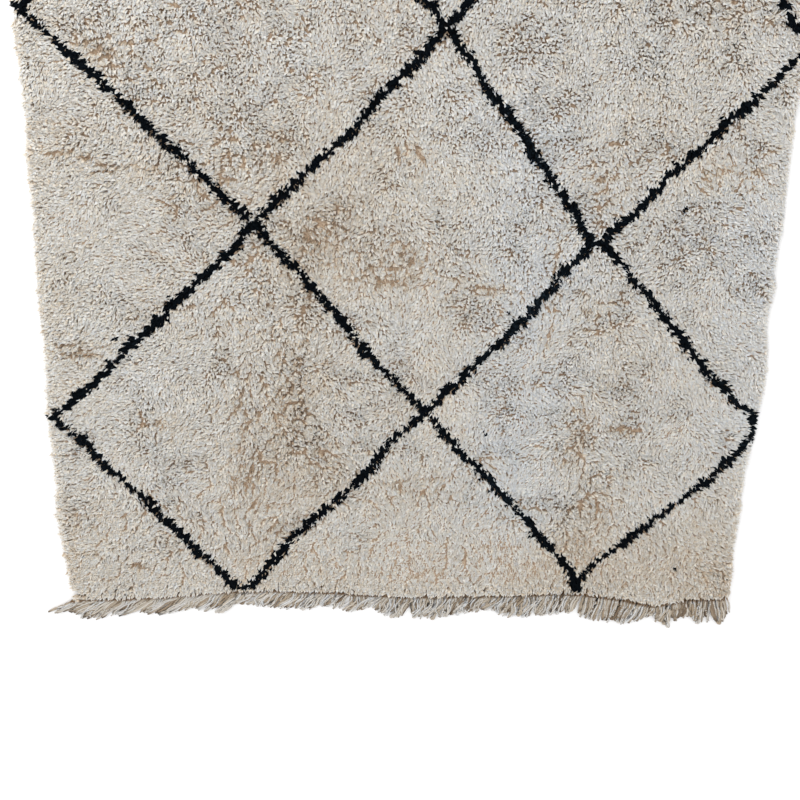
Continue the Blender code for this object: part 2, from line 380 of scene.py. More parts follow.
# Where the pile has parted in fine creases: the middle of each group and its reach both ways,
# the creases' heading in degrees, their length, how many there are and how deep they go
creases = {
    "width": 0.0050,
    "push": 0.43,
    "core": 0.0018,
    "headingWander": 16.0,
    "spread": 0.7,  # how far they lie from their group's middle, as a share of its reach
    "farthest": 1.7,  # the most of that spread that one may lie off
    "halfLength": (0.30, 0.65),
    "depthShare": (0.7, 1.1),
    "endFade": 0.6,
    "roughReach": 1.3,  # the clumped pile round a group, in reaches and metres
    "roughMargin": 0.01,
    "roughShare": 0.5,
    "groups": (
        # across, along, reach across, reach along, heading, length, count, depth
        (-0.71, 0.995, 0.030, 0.006, 4, 0.050, 3, 1.2),
        (-0.59, 0.975, 0.080, 0.006, -2, 0.090, 4, 0.8),
        (-0.45, 0.930, 0.060, 0.035, -38, 0.045, 10, 0.8),
        (-0.73, 0.585, 0.050, 0.016, -3, 0.080, 6, 1.1),
        (-0.41, 0.660, 0.080, 0.045, 32, 0.050, 13, 0.8),
        (-0.33, 0.780, 0.045, 0.045, 60, 0.040, 8, 0.6),
        (-0.37, 0.990, 0.080, 0.045, 75, 0.040, 13, 0.8),
        (-0.01, 1.020, 0.020, 0.015, -55, 0.050, 4, 1.1),
        (0.03, 0.790, 0.085, 0.040, -3, 0.060, 16, 1.0),
        (-0.19, 0.850, 0.040, 0.030, -20, 0.050, 7, 0.9),
        (-0.07, 0.755, 0.060, 0.025, 12, 0.050, 9, 1.0),
        (0.20, 0.730, 0.060, 0.012, -3, 0.080, 5, 0.9),
        (-0.24, 0.620, 0.050, 0.075, 65, 0.050, 15, 0.8),
        (0.41, 0.985, 0.080, 0.050, 40, 0.040, 18, 0.8),
        (0.69, 0.995, 0.065, 0.028, -20, 0.030, 20, 1.1),
        (0.31, 0.730, 0.016, 0.110, 88, 0.060, 9, 0.9),
        (0.40, 0.680, 0.060, 0.050, -25, 0.040, 16, 0.8),
        (-0.36, 0.480, 0.070, 0.050, 50, 0.040, 18, 0.9),
        (-0.36, 0.280, 0.060, 0.100, 78, 0.050, 26, 0.9),
        (-0.57, 0.420, 0.030, 0.010, 8, 0.050, 3, 1.0),
        (-0.65, 0.076, 0.020, 0.003, 2, 0.070, 2, 1.2),
        (-0.68, 0.146, 0.060, 0.045, 25, 0.030, 10, 0.5),
        (0.00, 0.280, 0.075, 0.030, 3, 0.100, 7, 0.7),
        (-0.18, 0.350, 0.045, 0.035, -35, 0.040, 8, 0.6),
        (0.20, 0.330, 0.045, 0.020, -8, 0.060, 5, 0.6),
        (-0.265, 0.450, 0.025, 0.050, 60, 0.040, 9, 0.9),
        (0.40, 0.410, 0.018, 0.070, 85, 0.060, 8, 0.9),
        (0.37, 0.345, 0.025, 0.025, 60, 0.040, 7, 0.8),
        (0.50, 0.425, 0.045, 0.008, -5, 0.080, 4, 1.0),
        (0.45, 0.240, 0.025, 0.045, -70, 0.050, 7, 0.8),
        (-0.30, 1.450, 0.110, 0.060, 15, 0.050, 16, 0.9),
        (0.45, 1.800, 0.090, 0.070, -40, 0.050, 16, 0.9),
        (-0.60, 1.200, 0.080, 0.030, 5, 0.070, 8, 0.9),
        (0.10, 2.100, 0.090, 0.060, 80, 0.050, 16, 0.8),
        (-0.55, 2.250, 0.080, 0.050, -15, 0.050, 13, 0.8),
        (0.62, 1.350, 0.080, 0.050, 30, 0.040, 13, 0.8),
        (0.00, 1.250, 1.100, 1.300, 0, 0.030, 150, 0.6),
    ),
}


def layCreases(rng):
    lines = []
    farthest = creases["farthest"]
    for across, along, reachAcross, reachAlong, heading, length, count, depth in creases["groups"]:
        for _ in range(count):
            midAcross = across + np.clip(rng.normal(), -farthest, farthest) * reachAcross * creases["spread"]
            midAlong = along + np.clip(rng.normal(), -farthest, farthest) * reachAlong * creases["spread"]
            turn = math.radians(heading + rng.normal() * creases["headingWander"])
            half = length * rng.uniform(*creases["halfLength"])
            lines.append((midAcross, midAlong, half * math.cos(turn), half * math.sin(turn),
                          depth * rng.uniform(*creases["depthShare"])))
    return lines


# The way each yarn end leans, how much of a crease it stands in, and how clumped the pile is there
def combPile(x, y, gaps, rng):
    across, along = x - middleX, y - fringedY
    rest = math.radians(combing["restHeading"])
    lean = np.tile([combing["restPull"] * math.cos(rest), combing["restPull"] * math.sin(rest)], (len(x), 1))
    for strokeAcross, strokeAlong, reach, heading, pull in combing["strokes"]:
        turn = math.radians(heading)
        weight = pull * np.exp(-((across - strokeAcross) ** 2 + (along - strokeAlong) ** 2) / reach**2)
        lean += weight[:, None] * np.array([math.cos(turn), math.sin(turn)])
    lift = np.ones(len(x))
    outward = ((-1, 0), (1, 0), (0, -1), (0, 1))
    for gap, way, pull, lifted in zip(gaps, outward, combing["edgePull"], combing["edgeLift"]):
        weight = combing["sidePull"] * np.exp(-((gap / combing["sideReach"]) ** 2))
        atEdge = np.exp(-((gap / combing["edgeReach"]) ** 2))
        lean += (weight + pull * atEdge)[:, None] * np.array(way)
        lift = np.minimum(lift, 1 - (1 - lifted) * atEdge)

    rough = combing["restRough"] + combing["endRough"] * np.exp(-((along / combing["endReach"]) ** 2))
    reachShare, margin = creases["roughReach"], creases["roughMargin"]
    # the last group is strewn over the whole rug
    for groupAcross, groupAlong, reachAcross, reachAlong, _, _, _, depth in creases["groups"][:-1]:
        off = ((across - groupAcross) / (reachAcross * reachShare + margin)) ** 2
        off += ((along - groupAlong) / (reachAlong * reachShare + margin)) ** 2
        rough += creases["roughShare"] * depth * np.exp(-off)
    rough = np.minimum(rough, 1.0)

    creased = np.zeros(len(x))
    for midAcross, midAlong, runAcross, runAlong, depth in layCreases(rng):
        reach = 3 * creases["width"]
        near = (np.abs(across - midAcross) < abs(runAcross) + reach)
        near &= np.abs(along - midAlong) < abs(runAlong) + reach
        offAcross, offAlong = across[near] - midAcross, along[near] - midAlong
        share = (offAcross * runAcross + offAlong * runAlong) / (runAcross**2 + runAlong**2)
        share = np.clip(share, -1, 1)
        awayAcross, awayAlong = offAcross - share * runAcross, offAlong - share * runAlong
        distance = np.hypot(awayAcross, awayAlong) + 1e-6
        fade = depth * (1 - creases["endFade"] * np.abs(share))
        pushed = fade * np.exp(-((distance / creases["width"]) ** 2)) * creases["push"]
        lean[near] += np.stack([awayAcross, awayAlong], -1) * (pushed / distance)[:, None]
        creased[near] = np.maximum(creased[near], fade * np.exp(-((distance / creases["core"]) ** 2)))
    return lean, lift, creased, rough


# One lock of yarn stands on its root: a slim leaf with a ridge, and a tip that bends away.
# It is a unit wide and a unit long.
lockShapes = (
    # how far up its widest part is, and how far the tip is bent
    {"belly": 0.55, "bend": 0.00},
    {"belly": 0.62, "bend": 0.35},
    {"belly": 0.48, "bend": -0.30},
    {"belly": 0.58, "bend": 0.15},
)


def makeLocks():
    locks = bpy.data.collections.new("locks")
    for number, shape in enumerate(lockShapes):
        belly = shape["belly"]
        points = [(0, 0, 0), (-0.5, -0.32, belly), (0.5, -0.32, belly), (shape["bend"], 0.34, 1)]
        faces = [(0, 1, 2), (1, 3, 2), (0, 3, 1), (0, 2, 3)]
        mesh = bpy.data.meshes.new(f"lock{number + 1}")
        mesh.from_pydata(points, [], faces)
        giveValues(mesh, {"along": (0, belly, belly, 1), "rim": (0, -1, 1, 0)})
        locks.objects.link(bpy.data.objects.new(f"lock{number + 1}", mesh))
    return locks


# How the locks stand: sizes in metres, leans against a lock that stands a unit high
pileLook = {
    "Lock Length": 0.0165,
    "Length Spread": 0.09,
    "Lock Width": 0.0074,
    "Upright": 0.60,
    "Tousle": 0.70,
    "Tousle Size": 0.085,
    "Fine Tousle": 0.34,
    "Fine Size": 0.024,
    "Clump Size": 0.024,
    "Clump Pull": 40.0,
    "Stray": 0.20,
    "Slimming": 0.46,  # how much slimmer the locks in a crease are
    "Settling": 0.7,  # and how much less they are tousled
    "Hold Back": 0.30,
    "Roll": 1.1,
    "Width Spread": 0.25,
    "Facets": 0.19,  # how much of a facet's own slope its shading keeps
    "Seed": 11,
}
latticePileLook = {"Clump Pull": 12.0, "Stray": 0.32, "Lock Length": 0.0175}


def growLocksTree():
    kinds = {label: "Int" if label == "Seed" else "Float" for label in pileLook}
    tree, given = startTree("growLocks", {"Locks": "Collection", "Wool": "Material", **kinds})
    place = addNode(tree, "GeometryNodeInputPosition").outputs[0]
    creased = readAttribute(tree, "creased")

    def lessBy(amount, factor=1.0):
        return doMath(tree, "SUBTRACT", 1.0, doMath(tree, "MULTIPLY", amount, factor))

    def spreadBy(amount, seedStep):
        return randomBetween(tree, lessBy(amount), doMath(tree, "ADD", 1.0, amount),
                             doMath(tree, "ADD", given["Seed"], seedStep))

    def noiseLean(size, amount):
        noise = addNode(tree, "ShaderNodeTexNoise", {
            "Vector": place, "Scale": doMath(tree, "DIVIDE", 1.0, size), "Detail": 1.0,
        })
        centred = doVector(tree, "SUBTRACT", noise.outputs["Color"], (0.5, 0.5, 0.5))
        # noise seldom strays over a quarter from its middle
        return scaleVector(tree, centred, doMath(tree, "MULTIPLY", amount, 4.0))

    clump = addNode(tree, "ShaderNodeTexVoronoi", {
        "Vector": place, "Scale": doMath(tree, "DIVIDE", 1.0, given["Clump Size"]),
    }, voronoi_dimensions="2D")
    toClump = doVector(tree, "SUBTRACT", clump.outputs["Position"], place)
    clumpPull = doMath(tree, "MULTIPLY", given["Clump Pull"], readAttribute(tree, "rough"))
    anyWay = randomBetween(tree, (-1, -1, -1), (1, 1, 1), given["Seed"], "FLOAT_VECTOR")
    lean = doVector(tree, "ADD", noiseLean(given["Tousle Size"], given["Tousle"]),
                    noiseLean(given["Fine Size"], given["Fine Tousle"]))
    lean = doVector(tree, "ADD", lean, scaleVector(tree, toClump, clumpPull))
    lean = doVector(tree, "ADD", lean, scaleVector(tree, anyWay, given["Stray"]))
    # what stands in a crease keeps to its own side of it
    lean = scaleVector(tree, lean, lessBy(creased, given["Settling"]))
    lean = doVector(tree, "ADD", lean, readAttribute(tree, "comb", "FLOAT_VECTOR"))
    flat = doVector(tree, "MULTIPLY", lean, (1.0, 1.0, 0.0))
    leaning = addNode(tree, "ShaderNodeVectorMath", {0: flat}, operation="LENGTH").outputs["Value"]
    # long leans are held back, so that no lock lies quite flat
    heldBack = doMath(tree, "ADD", 1.0, doMath(tree, "MULTIPLY", leaning, given["Hold Back"]))
    held = doMath(tree, "DIVIDE", 1.0, heldBack)
    upright = doMath(tree, "MULTIPLY", given["Upright"], readAttribute(tree, "lift"))
    risen = addNode(tree, "ShaderNodeCombineXYZ", {2: upright}).outputs[0]
    way = doVector(tree, "ADD", scaleVector(tree, flat, held), risen)

    level = doVector(tree, "CROSS_PRODUCT", way, (0.0, 0.0, 1.0))
    aimed = addNode(tree, "FunctionNodeAxesToRotation", {0: way, 1: level},
                    primary_axis="Z", secondary_axis="X").outputs[0]
    roll = randomBetween(tree, doMath(tree, "MULTIPLY", given["Roll"], -1.0), given["Roll"],
                         doMath(tree, "ADD", given["Seed"], 1.0))
    spin = addNode(tree, "ShaderNodeCombineXYZ", {2: roll}).outputs[0]
    turned = addNode(tree, "FunctionNodeRotateRotation", {0: aimed, 1: spin}, rotation_space="LOCAL")
    reach = doMath(tree, "MULTIPLY", spreadBy(given["Length Spread"], 2.0), readAttribute(tree, "reach"))
    long = doMath(tree, "MULTIPLY", given["Lock Length"], reach)
    # what stands in a crease is slim too, which keeps the crease a fine line
    slim = doMath(tree, "MULTIPLY", given["Lock Width"], lessBy(creased, given["Slimming"]))
    wide = doMath(tree, "MULTIPLY", slim, spreadBy(given["Width Spread"], 3.0))
    lockSize = addNode(tree, "ShaderNodeCombineXYZ", {0: wide, 1: wide, 2: long}).outputs[0]
    locks = addNode(tree, "GeometryNodeCollectionInfo", {
        "Collection": given["Locks"], "Separate Children": True, "Reset Children": True})
    placed = addNode(tree, "GeometryNodeInstanceOnPoints", {
        "Points": given["Geometry"], "Instance": locks.outputs[0], "Pick Instance": True,
        "Rotation": turned.outputs[0], "Scale": lockSize})
    whole = addNode(tree, "GeometryNodeRealizeInstances", {0: placed.outputs[0]}).outputs[0]
    whole = storePalette(tree, whole, readAttribute(tree, "rim"))
    return endTree(tree, softenShading(tree, whole, given["Facets"]), given["Wool"])


# Loose wool scatters light so well that a lock's upper faces shade much like the pile as a whole
def softenShading(tree, geometry, facets):
    upperFace = 0.05  # how far up a face looks that counts wholly as an upper one
    facing = addNode(tree, "GeometryNodeInputNormal").outputs["True Normal"]
    height = addNode(tree, "ShaderNodeSeparateXYZ", {0: facing}).outputs[2]
    above = addNode(tree, "ShaderNodeMapRange", {0: height, 1: 0.0, 2: upperFace}).outputs[0]
    up = addNode(tree, "ShaderNodeCombineXYZ", {2: above}).outputs[0]
    share = addNode(tree, "ShaderNodeMapRange", {0: above, 3: 1.0, 4: facets}).outputs[0]
    normal = doVector(tree, "NORMALIZE", doVector(tree, "ADD", scaleVector(tree, facing, share), up))
    return addNode(tree, "GeometryNodeSetMeshNormal", {"Mesh": geometry, "Custom Normal": normal},
                   mode="FREE", domain="CORNER").outputs[0]


# The bake's map: along the lock and its tone, which are all that its colour depends on.
# A lock is a strip there, which the margin keeps off the map's ends.
palette = {"margin": 0.02, "halfWidth": 0.004}


def storePalette(tree, geometry, across):
    run = doMath(tree, "MULTIPLY", readAttribute(tree, "along"), 1 - 2 * palette["margin"])
    along = doMath(tree, "ADD", palette["margin"], run)
    spread = doMath(tree, "MULTIPLY", across, palette["halfWidth"])
    tone = doMath(tree, "ADD", readAttribute(tree, "tone"), spread)
    spot = addNode(tree, "ShaderNodeCombineXYZ", {0: along, 1: tone}).outputs[0]
    return storeAttribute(tree, geometry, "OFBake", spot, "FLOAT2", "CORNER")


toneLook = {
    "middle": 0.53,
    "waveSpread": 0.10,
    "waveSize": 0.30,
    "lockSpread": 0.41,
    # painted shade: how much darker the tone of the locks in a crease's core is
    "creaseShade": 0.62,
    "roughDrop": 0.08,
    "patches": (
        # across, along, reach across, reach along, change of tone
        (0.24, 1.02, 0.11, 0.16, 0.26),
        (0.26, 0.72, 0.11, 0.16, 0.26),
        (0.24, 0.42, 0.12, 0.16, 0.30),
        (0.27, 0.22, 0.09, 0.10, 0.20),
        (0.77, 0.85, 0.12, 0.22, 0.21),
        (0.76, 0.50, 0.10, 0.20, 0.23),
        (0.55, 0.90, 0.16, 0.14, 0.11),
        (-0.60, 0.45, 0.10, 0.16, 0.10),
        (-0.27, 0.98, 0.10, 0.12, -0.14),
        (-0.24, 0.78, 0.11, 0.12, -0.18),
        (-0.24, 0.52, 0.11, 0.12, -0.12),
        (-0.22, 0.28, 0.13, 0.14, -0.16),
        (-0.08, 0.88, 0.12, 0.12, -0.10),
        (-0.60, 1.06, 0.20, 0.08, -0.10),
        (-0.75, 0.62, 0.06, 0.12, -0.12),
        (-0.55, 0.08, 0.20, 0.10, -0.03),
        (-0.78, 0.10, 0.05, 0.16, -0.12),
        (0.43, 0.14, 0.11, 0.14, -0.17),
        (0.62, 0.10, 0.14, 0.12, -0.09),
        (0.77, 0.06, 0.09, 0.16, -0.15),
        (0.00, 0.02, 0.60, 0.10, -0.04),
    ),
    "nubSpacing": 0.047,  # along the left side, where single rows of knots stand out
    "nubReach": 0.42,
    "nubInset": 0.012,
    # painted shade: how much darker the nubs' tone is
    "nubShade": 0.15,
    "edgeInset": 0.010,
    "edgeShortening": 0.10,  # the locks nearest the sides are shorter by this share
    "lengthWaves": 0.06,
    "lengthWaveSize": 0.07,
    "least": 0.02,
    "most": 0.98,
}


# Slow waves over the rug, from a few sines that don't line up: each one's heading and share of the size
waveTurns = ((0.4, 1.0), (1.7, 0.8), (2.9, 0.55), (4.4, 0.4), (5.6, 0.3))
waveStep = 1.9  # how far on each one starts


def slowWaves(x, y, size):
    waves = 0.0
    for number, (turn, share) in enumerate(waveTurns):
        k = math.pi / (size * share)
        waves = waves + np.sin(k * (x * math.cos(turn) + y * math.sin(turn)) + waveStep * number)
    return waves / len(waveTurns)


# The tone and the length of each yarn end
def shadePile(x, y, gaps, creased, rough, rng):
    look = toneLook
    across, along = x - middleX, y - fringedY
    tone = look["middle"] + look["waveSpread"] * slowWaves(x, y, look["waveSize"])
    for patchAcross, patchAlong, reachAcross, reachAlong, change in look["patches"]:
        off = ((across - patchAcross) / reachAcross) ** 2 + ((along - patchAlong) / reachAlong) ** 2
        tone += change * np.exp(-off)
    tone += rng.uniform(-0.5, 0.5, len(x)) * look["lockSpread"]
    # locks in a crease's core get a darker tone, painted shade of the crease; the tone is also lower where
    # the pile is clumped
    tone -= look["creaseShade"] * creased + look["roughDrop"] * rough
    edge = np.exp(-((gaps.min(0) / look["edgeInset"]) ** 2))
    # the second sine leaves the nubs unevenly spaced
    nub = np.maximum(np.sin(2 * math.pi * along / look["nubSpacing"] + 1.3 * np.sin(9 * along)), 0) ** 3
    nub *= np.exp(-((gaps[0] / look["nubInset"]) ** 2))
    # painted shade: the nubs get a darker tone
    tone -= look["nubShade"] * nub
    reach = 1 - look["edgeShortening"] * edge + look["nubReach"] * nub
    reach *= 1 + look["lengthWaves"] * slowWaves(x, y, look["lengthWaveSize"])
    return np.clip(tone, look["least"], look["most"]), reach


def growPile(wools):
    x, y, dark, gaps, rng = layYarnRoots()
    lean, lift, creased, rough = combPile(x, y, gaps, rng)
    tone, reach = shadePile(x, y, gaps, creased, rough, rng)
    values = {"tone": tone, "reach": reach, "lift": lift, "rough": rough,
              "creased": np.minimum(creased, 1.0)}
    spots = np.stack([x, y, bedHeight(gaps)], -1)
    tree, locks = growLocksTree(), makeLocks()
    bands = knots["bands"]
    band = np.minimum(((y - y.min()) / (np.ptp(y) + 1e-6) * bands).astype(int), bands - 1)
    jobs = [(f"creamPile{n + 1}", ~dark & (band == n), "cream", {}) for n in range(bands)]
    jobs.append(("latticePile", dark, "dark", latticePileLook))
    pieces = []
    for name, chosen, wool, changes in jobs:
        mesh = bpy.data.meshes.new(name + "Roots")
        mesh.vertices.add(int(chosen.sum()))
        mesh.vertices.foreach_set("co", spots[chosen].ravel())
        flatLean = np.pad(lean[chosen], ((0, 0), (0, 1)))
        comb = mesh.attributes.new("comb", "FLOAT_VECTOR", "POINT")
        comb.data.foreach_set("vector", flatLean.ravel())
        giveValues(mesh, {label: numbers[chosen] for label, numbers in values.items()})
        look = {**pileLook, **changes, "Locks": locks, "Wool": wools[wool]}
        pieces.append(growPiece(name, mesh, tree, look))
        print("pile:", name, int(chosen.sum()), "locks")
    return pieces


# The woven ground with the pile's matted foot: the imported rug's form, drawn in and lowered. Its brown is
# painted shade of the deep pile.
ground = {
    "heightShare": 0.70,
    "drawnIn": 0.009,
    "bed": 0.0102,  # the height that the locks rise from
    "bedEdge": 0.012,  # it slopes down to a share of that along all but the fringed side
    "bedEdgeShare": 0.40,
}


def bedHeight(gaps):
    left, right, _, plain = gaps
    inside = np.minimum(np.minimum(left, right), plain)
    return ground["bed"] * np.clip(inside / ground["bedEdge"], ground["bedEdgeShare"], 1.0)


def makeGround(material):
    mesh = rugNode.data.copy()
    mesh.name = "wovenGround"
    mesh.materials.clear()
    mesh.materials.append(material)
    shape = bmesh.new()
    shape.from_mesh(mesh)
    bmesh.ops.remove_doubles(shape, verts=shape.verts[:], dist=1e-5)
    middle = (rugLow + rugHigh) / 2
    shrinkX = 1 - ground["drawnIn"] / (rugHigh[0] - middle[0])
    shrinkY = 1 - ground["drawnIn"] / (rugHigh[1] - middle[1])
    for vertex in shape.verts:
        vertex.co.x = middle[0] + (vertex.co.x - middle[0]) * shrinkX
        vertex.co.y = middle[1] + (vertex.co.y - middle[1]) * shrinkY
        vertex.co.z *= ground["heightShare"]
    bmesh.ops.recalc_face_normals(shape, faces=shape.faces[:])
    shape.to_mesh(mesh)
    shape.free()
    return addObject("wovenGround", mesh)


finishes = {
    # roughness, shine, sheen, and how much light goes into it and comes out near by
    "creamWool": (0.92, 0.15, 0.10, 0.65),
    "darkWool": (0.92, 0.04, 0.0, 0.0),
    "warpYarn": (0.92, 0.15, 0.04, 0.12),
    "shadedMattedGround": (0.95, 0.15, 0.0, 0.3),
}
sheenRoughness = 0.6
scatterReach = (0.006, 0.005, 0.004)  # of red, green and blue


def startMaterial(name):
    material = bpy.data.materials.new(name)
    material.use_nodes = True
    tree = material.node_tree
    shader = tree.nodes["Principled BSDF"]
    names = ("Roughness", "Specular IOR Level", "Sheen Weight", "Subsurface Weight",
             "Sheen Roughness", "Subsurface Radius", "Subsurface Scale")
    for label, value in zip(names, (*finishes[name], sheenRoughness, scatterReach, 1.0)):
        shader.inputs[label].default_value = value
    return material, tree, shader


def addRamp(tree, factor, stops):
    node = addNode(tree, "ShaderNodeValToRGB", {0: factor})
    elements = node.color_ramp.elements
    while len(elements) < len(stops):
        elements.new(0.5)
    for element, (place, colour) in zip(elements, stops):
        element.position = place
        element.color = (*colour, 1.0)
    return node.outputs[0]


def mixColour(tree, factor, first, second, kind="MIX"):
    inputs = {0: factor, 6: first, 7: second}
    return addNode(tree, "ShaderNodeMix", inputs, data_type="RGBA", blend_type=kind).outputs[2]


def shaderAttribute(tree, name):
    return addNode(tree, "ShaderNodeAttribute", attribute_name=name).outputs["Fac"]


# Tone runs from warm and dark at 0 to cool and pale at 1: the fleece's own tone, lowered by painted shade in
# creases, on the nubs and in the fringe's lower layers
woolColours = {
    "tips": ((0.0, (0.330, 0.225, 0.140)), (0.16, (0.560, 0.465, 0.365)), (0.38, (0.700, 0.640, 0.552)),
             (0.65, (0.728, 0.700, 0.650)), (1.0, (0.690, 0.698, 0.702))),
    "roots": ((0.0, (0.270, 0.175, 0.100)), (0.16, (0.440, 0.310, 0.195)), (0.38, (0.600, 0.462, 0.330)),
              (0.65, (0.645, 0.545, 0.435)), (1.0, (0.610, 0.570, 0.515))),
    "darkTips": ((0.0, (0.0012, 0.0018, 0.0028)), (0.7, (0.0028, 0.0048, 0.0072)),
                 (1.0, (0.009, 0.015, 0.021))),
    "darkRoots": ((0.0, (0.001, 0.0012, 0.0016)), (1.0, (0.002, 0.003, 0.004))),
    # the fringe's lower layers take the low tones, so the yarns' darker bodies and near-black tips there are
    # painted shade
    "yarn": ((0.0, (0.150, 0.105, 0.068)), (0.25, (0.325, 0.258, 0.186)), (0.5, (0.495, 0.438, 0.362)),
             (0.75, (0.555, 0.525, 0.482)), (1.0, (0.580, 0.582, 0.582))),
    "yarnTips": ((0.0, (0.050, 0.033, 0.022)), (0.35, (0.130, 0.090, 0.058)), (0.6, (0.300, 0.245, 0.185)),
                 (1.0, (0.560, 0.540, 0.505))),
}


# Each wool's colours at its foot and its head, where along it they blend, and its shadow
woolLooks = {
    # a lock's foot is darker and warmer than its head: painted shade of the deep pile
    "creamWool": {"foot": "roots", "head": "tips", "blend": (0.15, 0.80)},
    "darkWool": {"foot": "darkRoots", "head": "darkTips", "blend": (0.15, 0.80)},
    # the yarns lie in the pile's shadow as far as its edge
    "warpYarn": {"foot": "yarn", "head": "yarnTips", "blend": (0.86, 1.0), "shadow": (
        (0.0, (0.26, 0.175, 0.11)), (0.30, (0.44, 0.315, 0.21)), (0.37, (1.0, 1.0, 1.0)))},
}


def makeWool(name):
    look = woolLooks[name]
    material, tree, shader = startMaterial(name)
    tone, along = shaderAttribute(tree, "tone"), shaderAttribute(tree, "along")
    start, end = look["blend"]
    rise = addNode(tree, "ShaderNodeMapRange", {0: along, 1: start, 2: end}).outputs[0]
    foot, head = (addRamp(tree, tone, woolColours[look[part]]) for part in ("foot", "head"))
    colour = mixColour(tree, rise, foot, head)
    if "shadow" in look:
        colour = mixColour(tree, 1.0, colour, addRamp(tree, along, look["shadow"]), "MULTIPLY")
    tree.links.new(colour, shader.inputs["Base Color"])
    return material


groundCloth = {
    "grain": 210.0,
    "grainDetail": 2.0,
    "grainStrength": 0.6,
    "grainDepth": 0.002,
    # painted shade: the browns of the deep pile between the locks
    "colours": ((0.35, (0.26, 0.185, 0.125)), (0.55, (0.38, 0.285, 0.200)), (0.75, (0.50, 0.400, 0.300))),
    "latticeColour": (0.0018, 0.0022, 0.003, 1.0),
}


# The lattice's lines as 1, and 0 off them: a curve for each line
def latticeMask(tree, spot):
    axes = addNode(tree, "ShaderNodeSeparateXYZ", {0: spot}).outputs
    along = doMath(tree, "DIVIDE", doMath(tree, "SUBTRACT", axes[1], fringedY), rugPlace["pileLength"])
    across = doMath(tree, "SUBTRACT", axes[0], middleX)
    darkness = 0.0
    for turns in lattice.values():
        line = addNode(tree, "ShaderNodeFloatCurve", {1: along})
        curve = line.mapping.curves[0]
        spots = sorted((b / rugPlace["pileLength"], a / rugPlace["pileWidth"] + 0.5) for a, b in turns)
        curve.points[0].location = spots[0]
        curve.points[1].location = spots[-1]
        for spotX, spotY in spots[1:-1]:
            curve.points.new(spotX, spotY)
        for point in curve.points:
            point.handle_type = "VECTOR"
        line.mapping.update()
        centre = doMath(tree, "SUBTRACT", line.outputs[0], 0.5)
        centre = doMath(tree, "MULTIPLY", centre, rugPlace["pileWidth"])
        off = doMath(tree, "ABSOLUTE", doMath(tree, "SUBTRACT", across, centre))
        darkness = doMath(tree, "MAXIMUM", darkness, doMath(tree, "LESS_THAN", off, latticeLook["halfRun"]))
    first, last = (latticeLook[key] / rugPlace["pileLength"] for key in ("firstRow", "lastRow"))
    darkness = doMath(tree, "MULTIPLY", darkness, doMath(tree, "GREATER_THAN", along, first))
    return doMath(tree, "MULTIPLY", darkness, doMath(tree, "LESS_THAN", along, last))


def makeGroundCloth():
    look = groundCloth
    material, tree, shader = startMaterial("shadedMattedGround")
    spot = addNode(tree, "ShaderNodeTexCoord").outputs["Object"]
    noise = addNode(tree, "ShaderNodeTexNoise", {
        "Vector": spot, "Scale": look["grain"], "Detail": look["grainDetail"]}).outputs[0]
    # the grain's browns are painted shade of the deep pile
    colour = addRamp(tree, noise, look["colours"])
    colour = mixColour(tree, latticeMask(tree, spot), colour, look["latticeColour"])
    tree.links.new(colour, shader.inputs["Base Color"])
    grain = addNode(tree, "ShaderNodeBump", {
        "Strength": look["grainStrength"], "Distance": look["grainDepth"], "Height": noise})
    tree.links.new(grain.outputs[0], shader.inputs["Normal"])
    return material


